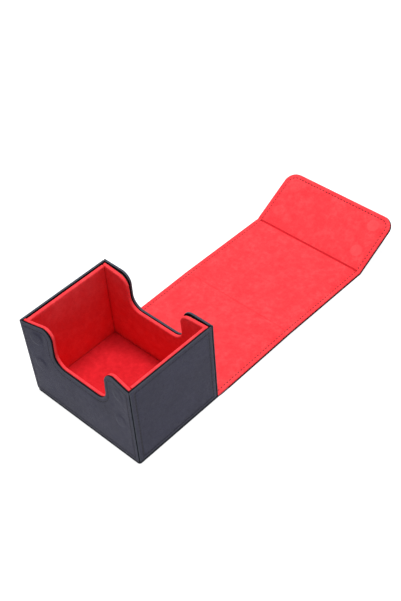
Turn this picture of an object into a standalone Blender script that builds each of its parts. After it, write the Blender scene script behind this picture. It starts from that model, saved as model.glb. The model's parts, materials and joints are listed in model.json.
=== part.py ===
"""A side-loading card deck box: a lined tray with finger scoops, and a three-panel cover that folds over it.

Units are metres, +Z is up. The origin is on the underside, at the middle of the tray. The tray's front
wall faces -Y. The cover lies open behind the tray, lining side up, and its flap stands up at an angle.
"""

from math import cos, pi, radians, sin

import bmesh
import bpy
from mathutils import Matrix

# Tray, outside
TRAY_WIDTH = 0.107
TRAY_DEPTH = 0.080
TRAY_HEIGHT = 0.0735

# Sheet materials
LEATHER = 0.0008
SUEDE = 0.0006
BOARD = 0.0012
LINER_BOARD = 0.0020
FLOOR_BOARD = 0.0024
GLUE = 0.0001  # glue line between two layers
SEAM = 0.0001  # gap where two panels butt

# Finger scoop in the front and back walls
SCOOP_HALF_WIDTH = 0.0262
SCOOP_FLOOR = 0.0440
EAR_RADIUS = 0.0090
SCOOP_RADIUS = 0.0100

# Corners of the tray
WALL_FOOT_RADIUS = 0.0030
BASE_CORNER_RADIUS = 0.0045

# Cover: hinge lines at the middle of the leather, distances from one hinge line to the next
COVER_WIDTH = 0.1077
HINGE_BEHIND_TRAY = 0.0029
BACK_COVER_LENGTH = 0.0764
TOP_COVER_LENGTH = 0.0882
FLAP_LENGTH = 0.0516
FLAP_CORNER_RADIUS = 0.0105
LINING = 0.0007
LINING_SETBACK = 0.0003  # the leather shows this much round the lining
LINING_FOLD_GAP = 0.0028  # from a hinge line to the lining, so that the panels can fold square
LEATHER_FOLD_GAP = 0.0006
BOARD_SETBACK = 0.0055  # the seam allowance outside the board
BOARD_FOLD_SETBACK = 0.0010
EDGE_THICKNESS = 0.0008  # of the lining at its sewn edge
EDGE_SLOPE = 0.0032  # how far in the lining reaches its full height
FOLD_SLOPE = 0.0012

# Angles of the open cover's panels above the table
BACK_COVER_TILT = radians(1.0)
TOP_COVER_TILT = radians(-0.834)
FLAP_TILT = radians(28.0)

# Magnets in the flap, and their partners in the front wall
MAGNET_RADIUS = 0.0050
MAGNET_THICKNESS = 0.0010
MAGNET_CLEARANCE = 0.0002
MAGNET_FROM_SIDE = 0.0134
FLAP_MAGNETS_AT = {"inner": 0.0152, "outer": 0.0398}  # from the flap's hinge line
WALL_MAGNET_ROW = {"inner": "upper", "outer": "lower"}  # where each lands on the front wall

OUTER_PANEL = LEATHER + GLUE + BOARD
INNER_PANEL = SUEDE + GLUE + LINER_BOARD
BASE_PANEL = LEATHER + GLUE + BOARD
WALL_BOTTOM = BASE_PANEL + GLUE
HINGE_HEIGHT = LEATHER / 2
HINGE_Y = TRAY_DEPTH / 2 + HINGE_BEHIND_TRAY
CLOSED_TOP = HINGE_HEIGHT + BACK_COVER_LENGTH
BOARD_BOTTOM = LEATHER / 2 + GLUE  # above the cover's hinge plane
BOARD_TOP = BOARD_BOTTOM + BOARD
LINING_UNDER = BOARD_TOP + GLUE
LINING_TOP = LINING_UNDER + LINING
ARC_STEPS = 8
SHORT_ARC_STEPS = 5
CUTTER_EXTRA = 0.0010

# Colour, roughness, metallic
LEATHER_FINISH = ((0.055, 0.056, 0.072), 0.55, 0.0)
SUEDE_FINISH = ((0.80, 0.03, 0.04), 0.95, 0.0)
BOARD_FINISH = ((0.42, 0.40, 0.36), 0.90, 0.0)
MAGNET_FINISH = ((0.62, 0.62, 0.64), 0.35, 1.0)


def clear_scene():
    for obj in list(bpy.data.objects):
        bpy.data.objects.remove(obj, do_unlink=True)


def arc(centre, radius, start, end, steps=ARC_STEPS):
    """Points (u, v) round a centre from one angle to another, in degrees."""
    if radius <= 0:
        return [centre]
    angles = [radians(start + (end - start) * i / steps) for i in range(steps + 1)]
    return [(centre[0] + radius * cos(a), centre[1] + radius * sin(a)) for a in angles]


def rectangle(half, low, high, low_radius=0.0, high_radius=0.0, steps=SHORT_ARC_STEPS):
    """A rectangle's outline, counter-clockwise, with its two low and its two high corners rounded."""
    r, s = max(low_radius, 0.0), max(high_radius, 0.0)
    return (
        arc((-half + r, low + r), r, 180, 270, steps)
        + arc((half - r, low + r), r, 270, 360, steps)
        + arc((half - s, high - s), s, 0, 90, steps)
        + arc((-half + s, high - s), s, 90, 180, steps)
    )


def scooped_wall(half, low, inset, foot_radius):
    """A wall with a scoop, seen from outside. The inset moves its rim and its scoop into the material."""
    top = TRAY_HEIGHT - inset
    ear = (SCOOP_HALF_WIDTH + EAR_RADIUS, TRAY_HEIGHT - EAR_RADIUS)
    hollow = (SCOOP_HALF_WIDTH - SCOOP_RADIUS, SCOOP_FLOOR + SCOOP_RADIUS)
    right = (
        arc((half - foot_radius, low + foot_radius), foot_radius, 270, 360, SHORT_ARC_STEPS)
        + [(half, top)]
        + arc(ear, EAR_RADIUS - inset, 90, 180)
        + arc(hollow, SCOOP_RADIUS + inset, 0, -90)
    )
    return right + [(-u, v) for u, v in reversed(right)]


def plain_wall(half, low, inset, foot_radius):
    return rectangle(half, low, TRAY_HEIGHT - inset, low_radius=foot_radius)


def finish(obj, look):
    colour, roughness, metallic = look
    material = bpy.data.materials.new(obj.name)
    material.use_nodes = True
    shader = material.node_tree.nodes["Principled BSDF"]
    shader.inputs["Base Color"].default_value = (*colour, 1.0)
    shader.inputs["Roughness"].default_value = roughness
    shader.inputs["Metallic"].default_value = metallic
    obj.data.materials.append(material)


def loft(name, rings, look, parent=None, place=None):
    """One closed solid through rings of the same number of points, capped at both ends."""
    mesh = bmesh.new()
    rows = [[mesh.verts.new(point) for point in ring] for ring in rings]
    for row, following in zip(rows, rows[1:]):
        for i, vert in enumerate(row):
            after = (i + 1) % len(row)
            mesh.faces.new((vert, row[after], following[after], following[i]))
    mesh.faces.new(list(reversed(rows[0])))
    mesh.faces.new(rows[-1])
    bmesh.ops.recalc_face_normals(mesh, faces=mesh.faces)
    data = bpy.data.meshes.new(name)
    mesh.to_mesh(data)
    mesh.free()
    data.shade_smooth()
    data.set_sharp_from_angle(angle=radians(30))
    obj = bpy.data.objects.new(name, data)
    bpy.context.scene.collection.objects.link(obj)
    obj.parent = parent
    obj.matrix_local = place or Matrix.Identity(4)
    finish(obj, look)
    return obj


def upright(outline, depth):
    """An outline standing in the XZ plane, at a depth along +Y."""
    return [(u, depth, v) for u, v in outline]


def flat(outline, height):
    """An outline lying in the XY plane, at a height."""
    return [(u, v, height) for u, v in outline]


def cut(obj, cutter):
    cutter.hide_render = True
    cutter.display_type = "WIRE"
    modifier = obj.modifiers.new(cutter.name, "BOOLEAN")
    modifier.operation = "DIFFERENCE"
    modifier.solver = "EXACT"
    modifier.object = cutter


def wall_place(side):
    """A wall is drawn facing -Y with its outer face on the XZ plane. This turns it to its side of the tray."""
    quarter_turns, x, y = {
        "front": (0, 0, -TRAY_DEPTH / 2),
        "right": (1, TRAY_WIDTH / 2, 0),
        "back": (2, 0, TRAY_DEPTH / 2),
        "left": (3, -TRAY_WIDTH / 2, 0),
    }[side]
    return Matrix.Translation((x, y, 0)) @ Matrix.Rotation(quarter_turns * pi / 2, 4, "Z")


def wall(side, outline, cover_half, liner_half):
    """The four layers of one wall: leather round a board outside, suede round a thicker board inside."""
    place = wall_place(side)
    cover = outline(cover_half, WALL_BOTTOM, 0, WALL_FOOT_RADIUS)
    pocket = outline(cover_half - LEATHER, WALL_BOTTOM + LEATHER, LEATHER, WALL_FOOT_RADIUS - LEATHER)
    skin = LEATHER + GLUE
    board = outline(cover_half - skin, WALL_BOTTOM + skin, skin, WALL_FOOT_RADIUS - skin)
    rings = [upright(cover, 0), upright(cover, OUTER_PANEL), upright(pocket, OUTER_PANEL), upright(pocket, LEATHER)]
    loft(f"{side}_wall_cover", rings, LEATHER_FINISH, place=place)
    outer_board = loft(
        f"{side}_wall_board", [upright(board, skin), upright(board, OUTER_PANEL)], BOARD_FINISH, place=place
    )

    back = OUTER_PANEL + GLUE
    front = back + INNER_PANEL
    cloth = SUEDE + GLUE
    liner = outline(liner_half, WALL_BOTTOM, 0, 0)
    pocket = outline(liner_half - SUEDE, WALL_BOTTOM + SUEDE, SUEDE, 0)
    board = outline(liner_half - cloth, WALL_BOTTOM + cloth, cloth, 0)
    rings = [
        upright(pocket, front - SUEDE),
        upright(pocket, back),
        upright(liner, back),
        upright(liner, front),
    ]
    loft(f"{side}_liner_suede", rings, SUEDE_FINISH, place=place)
    rings = [upright(board, back), upright(board, front - cloth)]
    loft(f"{side}_liner_board", rings, BOARD_FINISH, place=place)
    return outer_board


def make_walls():
    """The front and back walls run the full width; the side walls fit between them, outside and inside."""
    panel_end = TRAY_DEPTH / 2 - OUTER_PANEL - SEAM
    liner_end = panel_end - INNER_PANEL - GLUE
    front_board = wall("front", scooped_wall, TRAY_WIDTH / 2, TRAY_WIDTH / 2 - OUTER_PANEL - SEAM)
    wall("back", scooped_wall, TRAY_WIDTH / 2, TRAY_WIDTH / 2 - OUTER_PANEL - SEAM)
    wall("left", plain_wall, panel_end, liner_end)
    wall("right", plain_wall, panel_end, liner_end)
    return front_board


def base_outline(half, front, back, radius):
    return rectangle(half, front, back, low_radius=radius)


def make_base():
    """The base: leather turned up round a board, with a single layer left behind the tray as the hinge."""
    half, front, back = TRAY_WIDTH / 2, -TRAY_DEPTH / 2, TRAY_DEPTH / 2
    hinge_edge = HINGE_Y - LEATHER_FOLD_GAP
    outer = base_outline(half, front, hinge_edge, BASE_CORNER_RADIUS)
    cover = loft("base_cover", [flat(outer, 0), flat(outer, BASE_PANEL)], LEATHER_FINISH)

    skin = LEATHER + GLUE
    pocket = base_outline(half - LEATHER, front + LEATHER, back - LEATHER, BASE_CORNER_RADIUS - LEATHER)
    pocket_rings = [flat(pocket, LEATHER), flat(pocket, BASE_PANEL + CUTTER_EXTRA)]
    cut(cover, loft("base_pocket_cutter", pocket_rings, BOARD_FINISH))
    step = rectangle(half + CUTTER_EXTRA, back, hinge_edge + CUTTER_EXTRA)
    step_rings = [flat(step, LEATHER), flat(step, BASE_PANEL + CUTTER_EXTRA)]
    cut(cover, loft("base_step_cutter", step_rings, BOARD_FINISH))

    board = base_outline(half - skin, front + skin, back - skin, BASE_CORNER_RADIUS - skin)
    loft("base_board", [flat(board, skin), flat(board, BASE_PANEL)], BOARD_FINISH)


def make_floor():
    """The floor panel lies between the inner walls: suede wrapped over a board."""
    wall_thickness = OUTER_PANEL + GLUE + INNER_PANEL + SEAM
    half = TRAY_WIDTH / 2 - wall_thickness
    depth = TRAY_DEPTH / 2 - wall_thickness
    low = WALL_BOTTOM
    top = low + FLOOR_BOARD + GLUE + SUEDE
    cloth = SUEDE + GLUE
    outer = rectangle(half, -depth, depth)
    pocket = rectangle(half - SUEDE, -depth + SUEDE, depth - SUEDE)
    board = rectangle(half - cloth, -depth + cloth, depth - cloth)
    rings = [flat(pocket, top - SUEDE), flat(pocket, low), flat(outer, low), flat(outer, top)]
    loft("floor_suede", rings, SUEDE_FINISH)
    loft("floor_board", [flat(board, low), flat(board, low + FLOOR_BOARD)], BOARD_FINISH)


def hinge(name, parent, offset, turn):
    """An empty on a fold line, with +Y along the panel that it carries."""
    empty = bpy.data.objects.new(name, None)
    empty.empty_display_size = 0.01
    bpy.context.scene.collection.objects.link(empty)
    empty.parent = parent
    empty.matrix_local = Matrix.Translation(offset) @ Matrix.Rotation(turn, 4, "X")
    return empty


def cover_panel(name, fold, length, far_fold, corner_radius=0.0):
    """Leather, board and lining of one panel, drawn flat from its fold line along +Y."""
    half = COVER_WIDTH / 2
    end = length - LEATHER_FOLD_GAP if far_fold else length
    leather = rectangle(half, LEATHER_FOLD_GAP, end, high_radius=corner_radius)
    rings = [flat(leather, -LEATHER / 2), flat(leather, LEATHER / 2)]
    loft(f"{name}_leather", rings, LEATHER_FINISH, parent=fold)

    side, near = half - LINING_SETBACK, LINING_FOLD_GAP
    far = length - (LINING_FOLD_GAP if far_fold else LINING_SETBACK)

    def inner(sides, folds):
        """The lining's outline, moved in from its sewn edges and from its fold edges."""
        at_end = folds if far_fold else sides
        radius = max(corner_radius - LINING_SETBACK - sides, CUTTER_EXTRA) if corner_radius else 0
        return rectangle(side - sides, near + folds, far - at_end, high_radius=radius)

    pocket = inner(BOARD_SETBACK - GLUE, BOARD_FOLD_SETBACK - GLUE)
    rings = [
        flat(pocket, LINING_UNDER),
        flat(pocket, BOARD_BOTTOM),
        flat(inner(0, 0), BOARD_BOTTOM),
        flat(inner(0, 0), BOARD_BOTTOM + EDGE_THICKNESS),
        flat(inner(EDGE_SLOPE, FOLD_SLOPE), LINING_TOP),
    ]
    loft(f"{name}_lining", rings, SUEDE_FINISH, parent=fold)
    board = inner(BOARD_SETBACK, BOARD_FOLD_SETBACK)
    return loft(f"{name}_board", [flat(board, BOARD_BOTTOM), flat(board, BOARD_TOP)], BOARD_FINISH, parent=fold)


def disc(radius):
    """A circle's outline with as many points as a round shape this small needs."""
    return arc((0, 0), radius, 0, 360 - 360 / (3 * ARC_STEPS), 3 * ARC_STEPS - 1)


def magnet(name, board, lie, place):
    """A magnet in a round hole of a board. lie is the way that its circle faces, upright or flat."""
    hole = [lie(disc(MAGNET_RADIUS + MAGNET_CLEARANCE), end) for end in (-CUTTER_EXTRA, BOARD + CUTTER_EXTRA)]
    body = [lie(disc(MAGNET_RADIUS), end) for end in (GLUE, GLUE + MAGNET_THICKNESS)]
    cut(board, loft(f"{name}_hole_cutter", hole, BOARD_FINISH, parent=board.parent, place=place))
    loft(name, body, MAGNET_FINISH, parent=board.parent, place=place)


def make_magnets(wall_board, flap_board):
    """Four magnets in the flap, and four in the front wall just where they come when the cover is shut."""
    from_centre = TRAY_WIDTH / 2 - MAGNET_FROM_SIDE
    for side, x in (("left", -from_centre), ("right", from_centre)):
        for row, along in FLAP_MAGNETS_AT.items():
            in_flap = Matrix.Translation((x, along, BOARD_BOTTOM))
            magnet(f"flap_magnet_{side}_{row}", flap_board, flat, in_flap)
            in_wall = wall_place("front") @ Matrix.Translation((x, LEATHER + GLUE, CLOSED_TOP - along))
            magnet(f"wall_magnet_{side}_{WALL_MAGNET_ROW[row]}", wall_board, upright, in_wall)


def make_cover():
    back_fold = hinge("back_cover_hinge", None, (0, HINGE_Y, HINGE_HEIGHT), BACK_COVER_TILT)
    top_turn = TOP_COVER_TILT - BACK_COVER_TILT
    top_fold = hinge("top_cover_hinge", back_fold, (0, BACK_COVER_LENGTH, 0), top_turn)
    flap_fold = hinge("front_flap_hinge", top_fold, (0, TOP_COVER_LENGTH, 0), FLAP_TILT - TOP_COVER_TILT)
    cover_panel("back_cover", back_fold, BACK_COVER_LENGTH, far_fold=True)
    cover_panel("top_cover", top_fold, TOP_COVER_LENGTH, far_fold=True)
    return cover_panel("front_flap", flap_fold, FLAP_LENGTH, far_fold=False, corner_radius=FLAP_CORNER_RADIUS)


def main():
    clear_scene()
    make_base()
    make_floor()
    wall_board = make_walls()
    flap_board = make_cover()
    make_magnets(wall_board, flap_board)


main()
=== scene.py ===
"""Looks of a card deck box: a suede-lined leather tray with finger scoops and a three-panel cover.

Every piece is built in the CAD's frame, in millimetres first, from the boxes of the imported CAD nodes.
A panel is drawn flat: u runs across it, v up or along it, and h is the height above its back.
"""

import json
from math import atan2, ceil, copysign, cos, hypot, pi, radians, sin

import bmesh
import bpy
import numpy as np
from mathutils import Matrix, Vector, noise
from mathutils.geometry import delaunay_2d_cdt


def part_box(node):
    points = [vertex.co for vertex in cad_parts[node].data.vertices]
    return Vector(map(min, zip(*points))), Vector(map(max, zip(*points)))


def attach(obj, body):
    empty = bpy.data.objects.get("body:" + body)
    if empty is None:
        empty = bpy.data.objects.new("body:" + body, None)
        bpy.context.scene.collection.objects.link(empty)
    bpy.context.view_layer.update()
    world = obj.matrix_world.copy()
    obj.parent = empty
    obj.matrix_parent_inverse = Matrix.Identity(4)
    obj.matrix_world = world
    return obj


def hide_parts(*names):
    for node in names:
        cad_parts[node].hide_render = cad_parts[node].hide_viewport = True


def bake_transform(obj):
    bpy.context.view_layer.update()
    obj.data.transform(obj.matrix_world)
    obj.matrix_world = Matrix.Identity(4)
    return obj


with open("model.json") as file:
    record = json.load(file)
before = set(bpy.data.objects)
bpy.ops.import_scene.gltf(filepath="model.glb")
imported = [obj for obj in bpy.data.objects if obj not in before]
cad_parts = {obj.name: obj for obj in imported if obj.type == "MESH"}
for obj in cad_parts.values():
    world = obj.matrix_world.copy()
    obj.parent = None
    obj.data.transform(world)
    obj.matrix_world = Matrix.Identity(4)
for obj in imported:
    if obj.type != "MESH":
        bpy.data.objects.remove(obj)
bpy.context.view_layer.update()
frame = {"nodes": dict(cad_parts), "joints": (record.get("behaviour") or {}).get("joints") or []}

MM = 0.001

# ---- sizes, in millimetres


def box_mm(node):
    low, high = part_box(node)
    return low / MM, high / MM


def middle_mm(node):
    return sum(box_mm(node), Vector()) / 2


FRONT_LOW, FRONT_HIGH = box_mm("front_wall_cover")
SIDE_LOW, SIDE_HIGH = box_mm("right_wall_cover")
LINER_LOW, LINER_HIGH = box_mm("front_liner_suede")
SIDE_LINER_HIGH = box_mm("right_liner_suede")[1]
FLOOR_LOW, FLOOR_HIGH = box_mm("floor_suede")
COVER_HALF = box_mm("back_cover_leather")[1].x
LINING_HALF = box_mm("back_cover_lining")[1].x

TRAY_HALF, DEPTH_HALF = FRONT_HIGH.x, -FRONT_LOW.y
WALL_LOW, WALL_TOP = FRONT_LOW.z, FRONT_HIGH.z
WALL_THICK = FRONT_HIGH.y - FRONT_LOW.y
LINER_THICK = LINER_HIGH.y - LINER_LOW.y
SKIN, CLOTH = 0.8, 0.6  # thickness of the leather over a board, and of the suede

SCOOP_HALF, SCOOP_FLOOR = 26.2, 44.0
EAR_RADIUS, SCOOP_RADIUS = 9.0, 10.0
FOOT_RADIUS, LEFT_FOOT_RADIUS = 1.2, 1.8
BASE_RADIUS, LEFT_BASE_RADIUS = 2.2, 2.8
FLAP_RADIUS = 10.5

FRONT_BOW, BACK_BOW = 2.2, 1.0  # how far the scooped walls lean in beside the scoop
BOW_END, BOW_RUN, BOW_FROM = 50.0, 16.0, 20.0  # it fades out towards the corners, and below a height
SPLAY = 1.6  # how far the front left corner opens
FRONT_SPLAY = (26.0, 27.0)  # where the front wall's splay begins, and the length that it grows over
SIDE_SPLAY = (-4.0, 40.0)
SEAM_GAP, GAP_FADE = 0.5, 4.0  # the open seam between two walls, and the height that it closes over
LAP_LOW, LAP_RISE = 0.75, 0.35  # where the back wall's lap begins, and how fast
LAPPED = 0.55  # how far the side walls run into the lap
MITRE_RUN = 6.0  # the length at a wall's end that is drawn to the slant
FAR_TURNED = 2.4  # how far the far walls' leather is turned in behind the lining
NEAR_STEP, FAR_STEP = 0.2, 1.3  # how far the lining's rim lies under the leather's

STITCH_IN, COVER_STITCH_IN = 3.3, 3.8  # from a wall's edge to its stitches, and from the cover's
PITCH, STITCH_LONG = 3.1, 2.2

INNER = 9.0  # the edge value of a point far from every edge
PAINT_AND_SHADE_EDGE = -2.0  # the edge value that is painted black: paint on the cut edges, and painted shade on leather that is turned in, out of the light
NEAR_SHADE_BELOW, FAR_SHADE_BELOW = 1.2, 0.1  # below this height a near or far wall's leather is turned in and painted black as painted shade
BASE_PAINT_AND_SHADE = -0.25  # the base's rim is half painted black: edge paint, and painted shade on its lower rounding
PAINT_AND_SHADE_STRIP = 0.7  # the strip of leather beside the lining that is painted black with its cut edge, also as painted shade for the dark line under the lining's edge
LIP_LOW, LIP_HIGH = 0.5, 1.0  # heights of a seam's turned-in leather above the panel's back
LIP_WIDE, LIP_OUT, LIP_BELOW_RIM = 3.0, 0.9, 1.6
FLOOR_SHADE, FLOOR_SHADE_SPREAD = -0.85, 0.15  # painted shade: the floor's suede is darkened inside the tray, most towards its back left corner

# The cover's fold lines: pivots in the YZ plane, and the angle of each panel after its fold
JOINTS = {joint["name"]: Vector(joint["pos_m"]) for joint in frame["joints"]}
PIVOTS = [JOINTS[f"{name}_fold"].yz / MM for name in ("back_cover", "top_cover", "front_flap")]
RUNS = [b - a for a, b in zip(PIVOTS, PIVOTS[1:])]
FLAP_LONG, FLAP_ANGLE = 51.6, radians(28.0)
SPANS = [run.length for run in RUNS] + [FLAP_LONG]
ANGLES = [0.0] + [atan2(run.y, run.x) for run in RUNS] + [FLAP_ANGLE]
FOLDS = [0.0, SPANS[0], SPANS[0] + SPANS[1]]
COVER_END = sum(SPANS)
ZONES = [2.9, 3.4, 3.4]  # half of the length that bends at each fold
STRIPS = [7.5, 6.0, 6.0]  # half of the length of the separate piece at each fold
FLAP_START = FOLDS[2] + STRIPS[2]

LEATHER_TOP, LEATHER_UNDER = 0.4, -0.4
LINING_GROOVE_IN = 3.5  # from the lining's edge to its seam
LINING_SHIFT = -0.4  # the lining lies a little to the left, so that the leather's edge shows on the right
LINING_SHORT = 0.3  # the lining ends before the leather at the flap's end
BOARD_RISE = 2.3  # the lining's height over a board, above the hinge plane
SEAM_RISE = 1.42  # its height where it lies on the leather
TUCK = -2.86  # where its near end is tucked against the tray


def smooth(value, start, run):
    """Goes smoothly from 0 to 1 over a run that begins at start."""
    t = min(1.0, max(0.0, (value - start) / run))
    return t * t * (3 - 2 * t)


def fading(value, start, run):
    return 1 - smooth(value, start, run)


def evenly(low, high, count):
    """Numbers in even steps, with both ends."""
    return [low + (high - low) * i / count for i in range(count + 1)]


def flat(u, v):
    """The relief of a face that has none."""
    return 0.0


# ---- places


def bow(u, v, most):
    """How far a scooped wall leans into the tray: nothing at the corners, most beside the scoop."""
    across = min(1.0, max(0.0, (BOW_END - abs(u)) / BOW_RUN))
    return most * across * smooth(v, BOW_FROM, WALL_TOP - BOW_FROM)


def splay(out, v, start, run):
    """The tray's front left corner opens a little, most at its top."""
    return SPLAY * smooth(out, start, run) * v / WALL_TOP


def front_lean(u, v):
    return bow(u, v, FRONT_BOW) - splay(-u, v, *FRONT_SPLAY)


def left_stretch(y, v):
    """The left wall follows the front wall out."""
    return y - splay(-y, v, *SIDE_SPLAY)


def seam_gap(v):
    """Half of the open seam at a tray corner, which closes at the rim."""
    return SEAM_GAP / 2 * smooth(WALL_TOP - v, 0.0, GAP_FADE)


def mitred(u, v, h, half, slant):
    """u, drawn in or out near a wall's ends, so that the walls meet at a slant at the tray's corners."""
    share = smooth(abs(u), half - MITRE_RUN, MITRE_RUN)
    return u + copysign(share, u) * slant(v, h)


def wide_slant(v, h):
    return h - WALL_THICK - seam_gap(v)


def narrow_slant(v, h):
    return max(0.0, DEPTH_HALF - SIDE_HIGH.y + wide_slant(v, h))


def rabbet(v, h):
    """The back wall's ends are cut in, and lap over the ends of the side walls."""
    return -(WALL_THICK + 2 * seam_gap(v)) * fading(h, LAP_LOW, LAP_RISE)


def side_slant(front):
    """How a side wall's end is drawn out: to the slant at the front, and into the lap at the back."""
    return narrow_slant if front else lambda v, h: LAPPED


def front_place(u, v, h):
    """h is above the back of the outer panel, towards -Y."""
    u = mitred(u, v, h, TRAY_HALF, wide_slant)
    return (u, FRONT_HIGH.y - h + front_lean(u, v), v)


def back_place(u, v, h):
    return (-mitred(u, v, h, TRAY_HALF, rabbet), -FRONT_HIGH.y + h, v)


def right_place(u, v, h):
    return (SIDE_LOW.x + h, mitred(u, v, h, SIDE_HIGH.y, side_slant(u < 0)), v)


def left_place(u, v, h):
    return (-SIDE_LOW.x - h, left_stretch(-mitred(u, v, h, SIDE_HIGH.y, side_slant(u > 0)), v), v)


def front_liner_place(u, v, h):
    """h is above the back of the inner panel, towards the inside."""
    return (-u, LINER_LOW.y + h + front_lean(-u, v), v)


def back_liner_place(u, v, h):
    return (u, -LINER_LOW.y - h - bow(u, v, BACK_BOW), v)


def right_liner_place(u, v, h):
    return (SIDE_LINER_HIGH.x - h, -u, v)


def left_liner_place(u, v, h):
    return (-SIDE_LINER_HIGH.x + h, left_stretch(u, v), v)


def floor_place(u, v, h):
    return (u, v, FLOOR_LOW.z + h)


def cover_place(x, s, h):
    """A point of the cover: s runs along it from the first fold line, and h is above the hinge plane."""
    turn, pivot, run = ANGLES[0], PIVOTS[0], s
    for fold, zone, low, high, centre in zip(FOLDS, ZONES, ANGLES, ANGLES[1:], PIVOTS):
        if s <= fold - zone:
            break
        w = smooth(s, fold - zone, 2 * zone)
        turn, pivot, run = low + (high - low) * w, centre, s - fold
    c, d = cos(turn), sin(turn)
    return (x, pivot.x + run * c - h * d, pivot.y + run * d + h * c)


def lining_place(x, s, h):
    return cover_place(x + LINING_SHIFT, s, h)


# ---- outlines


def arc(cx, cy, radius, start, end, count):
    return [(cx + radius * cos(a), cy + radius * sin(a)) for a in evenly(start, end, count)]


def mirrored(corners):
    """The same corners at a panel's other end, in the outline's order."""
    return [((-x, y), r, 180 - b, 180 - a, hollow) for (x, y), r, a, b, hollow in reversed(corners)]


def corner_arc(shape, inset):
    """The points of one corner, moved into the panel by inset. Large corners have more points."""
    (cx, cy), radius, start, end, hollow = shape
    steps = 14 if radius > 5.0 else 10
    if hollow:
        kept, move = radius + inset, 0.0
    else:
        kept = max(radius - inset, 0.15)
        move = radius - inset - kept
    a, b = radians(start), radians(end)
    cx += move * (cos(a) + cos(b))
    cy += move * (sin(a) + sin(b))
    return arc(cx, cy, kept, a, b, steps)


def ring_maker(corners, step=2.0):
    """A function from an inset to a closed outline, which always has the same number of points."""
    ends = [corner_arc(shape, 0.0) for shape in corners]
    counts = [
        max(1, ceil(hypot(b[0][0] - a[-1][0], b[0][1] - a[-1][1]) / step))
        for a, b in zip(ends, ends[1:] + ends[:1])
    ]

    def ring(inset):
        arcs = [corner_arc(shape, inset) for shape in corners]
        points = []
        for arc, after, n in zip(arcs, arcs[1:] + arcs[:1], counts):
            (ax, ay), (bx, by) = arc[-1], after[0]
            points += arc + list(zip(evenly(ax, bx, n), evenly(ay, by, n)))[1:-1]
        return points

    return ring


def rectangle(half, low, high, foot, tip, left_foot=None, scoop=()):
    """A panel with round corners. scoop holds the corners of half of a scoop in its top edge."""

    def side(foot):
        bottom = ((half - foot, low + foot), foot, 270, 360, False)
        return [bottom, ((half - tip, high - tip), tip, 0, 90, False), *scoop]

    return ring_maker(side(foot) + mirrored(side(left_foot or foot)))


def scooped(half, low, high, foot, tip, left_foot=None):
    """A wall with a finger scoop in its top edge."""
    ear = ((SCOOP_HALF + EAR_RADIUS, high - EAR_RADIUS), EAR_RADIUS, 90, 180, False)
    bed = ((SCOOP_HALF - SCOOP_RADIUS, SCOOP_FLOOR + SCOOP_RADIUS), SCOOP_RADIUS, 0, -90, True)
    return rectangle(half, low, high, foot, tip, left_foot, (ear, bed))


def grid_points(low, high, step):
    """Points on a grid, every other row shifted, so that the triangles are even."""
    rows = max(1, round((high[1] - low[1]) / step))
    columns = max(1, round((high[0] - low[0]) / step))
    points = []
    for j, v in enumerate(evenly(low[1], high[1], rows)):
        shift = 0.5 * (j % 2)
        for i in range(columns + 1 - (j % 2)):
            points.append((low[0] + (high[0] - low[0]) * (i + shift) / columns, v))
    return points


def inside(point, loop):
    x, y = point
    odd = False
    for (ax, ay), (bx, by) in zip(loop, loop[1:] + loop[:1]):
        if (ay > y) != (by > y) and x < (bx - ax) * (y - ay) / (by - ay) + ax:
            odd = not odd
    return odd


def magnet_grid(low, high, magnets):
    """Grid points, with rings of points instead round each magnet's bump."""
    grid = grid_points(low, high, 2.4)
    grid = [p for p in grid if all(hypot(p[0] - x, p[1] - y) > BUMP_CLEAR for x, y in magnets)]
    rings = [arc(x, y, radius, 0.0, 2 * pi, 28)[:-1] for x, y in magnets for radius in BUMP_RADII]
    return grid + [point for ring in rings for point in ring]


def box_of(outline):
    us, vs = zip(*outline)
    return (min(us), min(vs)), (max(us), max(vs))


def grid_inside(outline, smaller):
    """Grid points over an outline's box that lie inside a smaller outline."""
    return [p for p in grid_points(*box_of(outline), 6.0) if inside(p, smaller)]


# ---- meshes


def add_object(name, data):
    made = bpy.data.objects.new(name, data)
    bpy.context.scene.collection.objects.link(made)
    return made


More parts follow.
